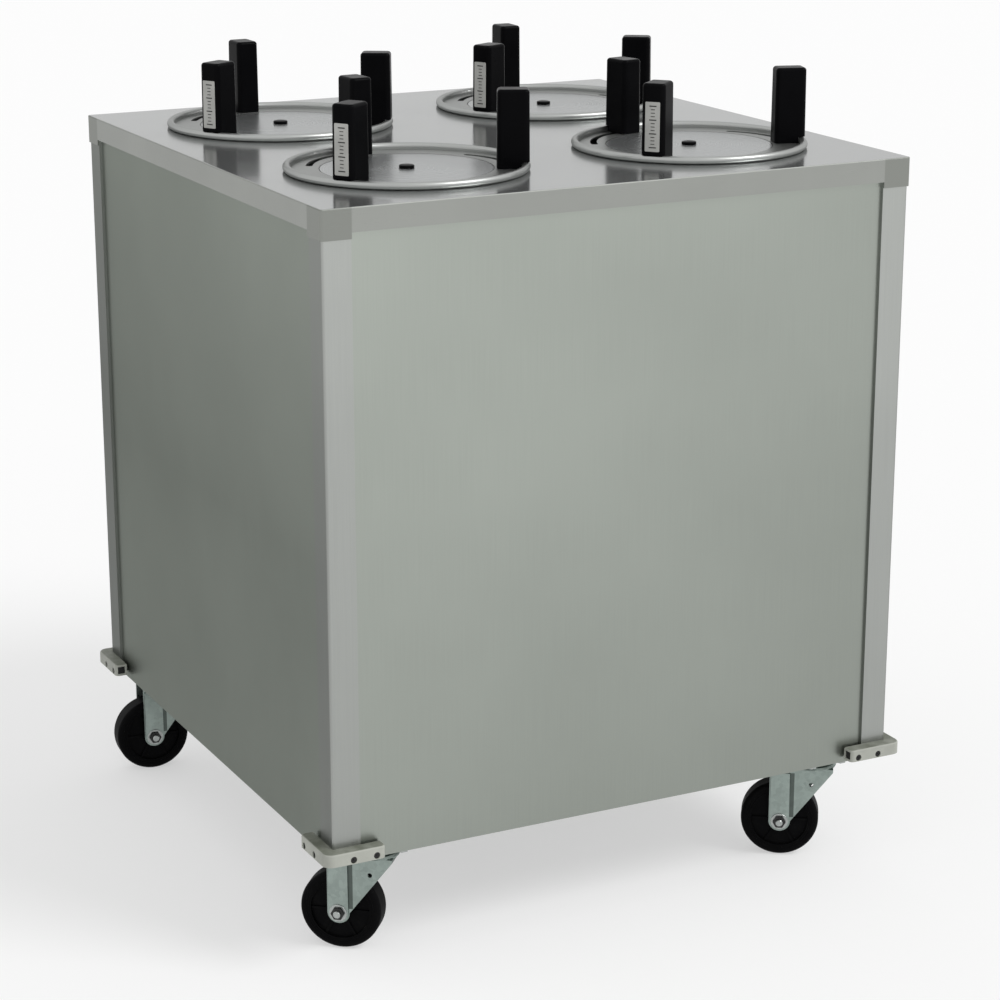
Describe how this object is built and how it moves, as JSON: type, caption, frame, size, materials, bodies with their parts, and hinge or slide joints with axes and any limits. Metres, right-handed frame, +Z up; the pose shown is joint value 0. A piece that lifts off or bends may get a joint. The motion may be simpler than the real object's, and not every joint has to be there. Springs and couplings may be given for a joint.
{
  "type": "heated plate dispenser",
  "caption": "Mobile heated plate dispenser: a stainless cabinet on swivel casters with sprung plate wells, adjustable guide posts and corner bumpers.",
  "frame": {"origin": "on the floor, under the middle of the cabinet", "axes": "+Z up, -Y out of the front, +X to the right seen from the front"},
  "size_m": [0.8154, 0.8154, 1.0234],
  "materials": {
    "sheet_steel": "satin",
    "well_steel": "satin",
    "guide_plastic": "gloss",
    "bumper_vinyl": "matte",
    "zinc_plate": "zinc plated",
    "wheel_rubber": "matte",
    "dark_steel": "dull",
    "spring_steel": "drawn",
    "pale_plastic": "matte",
    "black_plastic": "matte",
    "knob_plastic": "gloss"
  },
  "bodies": {
    "cabinet": {"base_frame": "sheet_steel", "top_pan": "sheet_steel", "front_panel": "sheet_steel", "rear_panel": "sheet_steel", "left_panel": "sheet_steel", "right_panel": "sheet_steel", "corner_post_front_left": "sheet_steel", "corner_post_front_right": "sheet_steel", "corner_post_rear_left": "sheet_steel", "corner_post_rear_right": "sheet_steel", "corner_bumpers": "bumper_vinyl", "bumper_screws": "dark_steel", "caster_plates": "zinc_plate", "caster_bolts": "zinc_plate", "heater_element": "dark_steel", "control_panel": "sheet_steel", "thermostat": "pale_plastic", "power_inlet": "black_plastic", "collar_front_left": "well_steel", "dispenser_tube_front_left": "well_steel", "lift_springs_front_left": "spring_steel", "collar_front_right": "well_steel", "dispenser_tube_front_right": "well_steel", "lift_springs_front_right": "spring_steel", "collar_rear_left": "well_steel", "dispenser_tube_rear_left": "well_steel", "lift_springs_rear_left": "spring_steel", "collar_rear_right": "well_steel", "dispenser_tube_rear_right": "well_steel", "lift_springs_rear_right": "spring_steel"},
    "carrier_front_left": {"plate_carrier_front_left": "well_steel"},
    "front_left_guide_back": {"front_left_guide_back": "guide_plastic"},
    "front_left_guide_left": {"front_left_guide_left": "guide_plastic"},
    "front_left_guide_right": {"front_left_guide_right": "guide_plastic"},
    "caster_front_left": {"caster_fork_front_left": "zinc_plate", "caster_axle_front_left": "zinc_plate"},
    "wheel_front_left": {"caster_wheel_front_left": "wheel_rubber"},
    "carrier_front_right": {"plate_carrier_front_right": "well_steel"},
    "front_right_guide_back": {"front_right_guide_back": "guide_plastic"},
    "front_right_guide_left": {"front_right_guide_left": "guide_plastic"},
    "front_right_guide_right": {"front_right_guide_right": "guide_plastic"},
    "caster_front_right": {"caster_fork_front_right": "zinc_plate", "caster_axle_front_right": "zinc_plate"},
    "wheel_front_right": {"caster_wheel_front_right": "wheel_rubber"},
    "carrier_rear_left": {"plate_carrier_rear_left": "well_steel"},
    "rear_left_guide_back": {"rear_left_guide_back": "guide_plastic"},
    "rear_left_guide_left": {"rear_left_guide_left": "guide_plastic"},
    "rear_left_guide_right": {"rear_left_guide_right": "guide_plastic"},
    "caster_rear_left": {"caster_fork_rear_left": "zinc_plate", "caster_axle_rear_left": "zinc_plate"},
    "wheel_rear_left": {"caster_wheel_rear_left": "wheel_rubber"},
    "carrier_rear_right": {"plate_carrier_rear_right": "well_steel"},
    "rear_right_guide_back": {"rear_right_guide_back": "guide_plastic"},
    "rear_right_guide_left": {"rear_right_guide_left": "guide_plastic"},
    "rear_right_guide_right": {"rear_right_guide_right": "guide_plastic"},
    "caster_rear_right": {"caster_fork_rear_right": "zinc_plate", "caster_axle_rear_right": "zinc_plate"},
    "wheel_rear_right": {"caster_wheel_rear_right": "wheel_rubber"},
    "thermostat_knob": {"thermostat_knob": "knob_plastic"},
    "switch_rocker": {"switch_rocker": "knob_plastic"}
  },
  "joints": [
    {"name": "carrier_front_left_lift", "type": "slide", "parent": "cabinet", "child": "carrier_front_left", "axis": [0, 0, 1], "range_m": [-0.5, 0], "stiffness_N_per_m": 680, "springref_m": 0.06, "deforming": ["lift_springs_front_left"]},
    {"name": "front_left_guide_back_swing", "type": "hinge", "parent": "cabinet", "child": "front_left_guide_back", "pos_m": [-0.19707, -0.17556, 0.9281], "axis": [0, 0, 1], "range_deg": [0, 60]},
    {"name": "front_left_guide_left_swing", "type": "hinge", "parent": "cabinet", "child": "front_left_guide_left", "pos_m": [-0.21198, -0.20683, 0.9281], "axis": [0, 0, 1], "range_deg": [0, 60]},
    {"name": "front_left_guide_right_swing", "type": "hinge", "parent": "cabinet", "child": "front_left_guide_right", "pos_m": [-0.17745, -0.20411, 0.9281], "axis": [0, 0, 1], "range_deg": [0, 60]},
    {"name": "caster_front_left_swivel", "type": "hinge", "parent": "cabinet", "child": "caster_front_left", "pos_m": [-0.315, -0.34, 0.13], "axis": [0, 0, 1], "continuous": true},
    {"name": "wheel_front_left_spin", "type": "hinge", "parent": "caster_front_left", "child": "wheel_front_left", "pos_m": [-0.34564, -0.31429, 0.0508], "axis": [-0.6428, -0.766, 0], "continuous": true},
    {"name": "carrier_front_right_lift", "type": "slide", "parent": "cabinet", "child": "carrier_front_right", "axis": [0, 0, 1], "range_m": [-0.5, 0], "stiffness_N_per_m": 680, "springref_m": 0.06, "deforming": ["lift_springs_front_right"]},
    {"name": "front_right_guide_back_swing", "type": "hinge", "parent": "cabinet", "child": "front_right_guide_back", "pos_m": [0.19151, -0.1759, 0.9281], "axis": [0, 0, 1], "range_deg": [0, 60]},
    {"name": "front_right_guide_left_swing", "type": "hinge", "parent": "cabinet", "child": "front_right_guide_left", "pos_m": [0.18052, -0.20875, 0.9281], "axis": [0, 0, 1], "range_deg": [0, 60]},
    {"name": "front_right_guide_right_swing", "type": "hinge", "parent": "cabinet", "child": "front_right_guide_right", "pos_m": [0.21447, -0.20185, 0.9281], "axis": [0, 0, 1], "range_deg": [0, 60]},
    {"name": "caster_front_right_swivel", "type": "hinge", "parent": "cabinet", "child": "caster_front_right", "pos_m": [0.315, -0.34, 0.13], "axis": [0, 0, 1], "continuous": true},
    {"name": "wheel_front_right_spin", "type": "hinge", "parent": "caster_front_right", "child": "wheel_front_right", "pos_m": [0.28184, -0.31763, 0.0508], "axis": [-0.5592, -0.829, 0], "continuous": true},
    {"name": "carrier_rear_left_lift", "type": "slide", "parent": "cabinet", "child": "carrier_rear_left", "axis": [0, 0, 1], "range_m": [-0.5, 0], "stiffness_N_per_m": 680, "springref_m": 0.06, "deforming": ["lift_springs_rear_left"]},
    {"name": "rear_left_guide_back_swing", "type": "hinge", "parent": "cabinet", "child": "rear_left_guide_back", "pos_m": [-0.1955, 0.2155, 0.9281], "axis": [0, 0, 1], "range_deg": [0, 60]},
    {"name": "rear_left_guide_left_swing", "type": "hinge", "parent": "cabinet", "child": "rear_left_guide_left", "pos_m": [-0.21282, 0.1855, 0.9281], "axis": [0, 0, 1], "range_deg": [0, 60]},
    {"name": "rear_left_guide_right_swing", "type": "hinge", "parent": "cabinet", "child": "rear_left_guide_right", "pos_m": [-0.17818, 0.1855, 0.9281], "axis": [0, 0, 1], "range_deg": [0, 60]},
    {"name": "caster_rear_left_swivel", "type": "hinge", "parent": "cabinet", "child": "caster_rear_left", "pos_m": [-0.315, 0.34, 0.13], "axis": [0, 0, 1], "continuous": true},
    {"name": "wheel_rear_left_spin", "type": "hinge", "parent": "caster_rear_left", "child": "wheel_rear_left", "pos_m": [-0.35478, 0.34418, 0.0508], "axis": [-0.1045, -0.9945, 0], "continuous": true},
    {"name": "carrier_rear_right_lift", "type": "slide", "parent": "cabinet", "child": "carrier_rear_right", "axis": [0, 0, 1], "range_m": [-0.5, 0], "stiffness_N_per_m": 680, "springref_m": 0.06, "deforming": ["lift_springs_rear_right"]},
    {"name": "rear_right_guide_back_swing", "type": "hinge", "parent": "cabinet", "child": "rear_right_guide_back", "pos_m": [0.19655, 0.21547, 0.9281], "axis": [0, 0, 1], "range_deg": [0, 60]},
    {"name": "rear_right_guide_left_swing", "type": "hinge", "parent": "cabinet", "child": "rear_right_guide_left", "pos_m": [0.17768, 0.18642, 0.9281], "axis": [0, 0, 1], "range_deg": [0, 60]},
    {"name": "rear_right_guide_right_swing", "type": "hinge", "parent": "cabinet", "child": "rear_right_guide_right", "pos_m": [0.21227, 0.18461, 0.9281], "axis": [0, 0, 1], "range_deg": [0, 60]},
    {"name": "caster_rear_right_swivel", "type": "hinge", "parent": "cabinet", "child": "caster_rear_right", "pos_m": [0.315, 0.34, 0.13], "axis": [0, 0, 1], "continuous": true},
    {"name": "wheel_rear_right_spin", "type": "hinge", "parent": "caster_rear_right", "child": "wheel_rear_right", "pos_m": [0.27696, 0.35236, 0.0508], "axis": [-0.309, -0.9511, 0], "continuous": true},
    {"name": "thermostat_turn", "type": "hinge", "parent": "cabinet", "child": "thermostat_knob", "pos_m": [0.05, 0.3892, 0.262], "axis": [0, 1, 0], "range_deg": [-270, 0]},
    {"name": "switch_rock", "type": "hinge", "parent": "cabinet", "child": "switch_rocker", "pos_m": [-0.0685, 0.3857, 0.262], "axis": [1, 0, 0], "range_deg": [0, 14]}
  ]
}
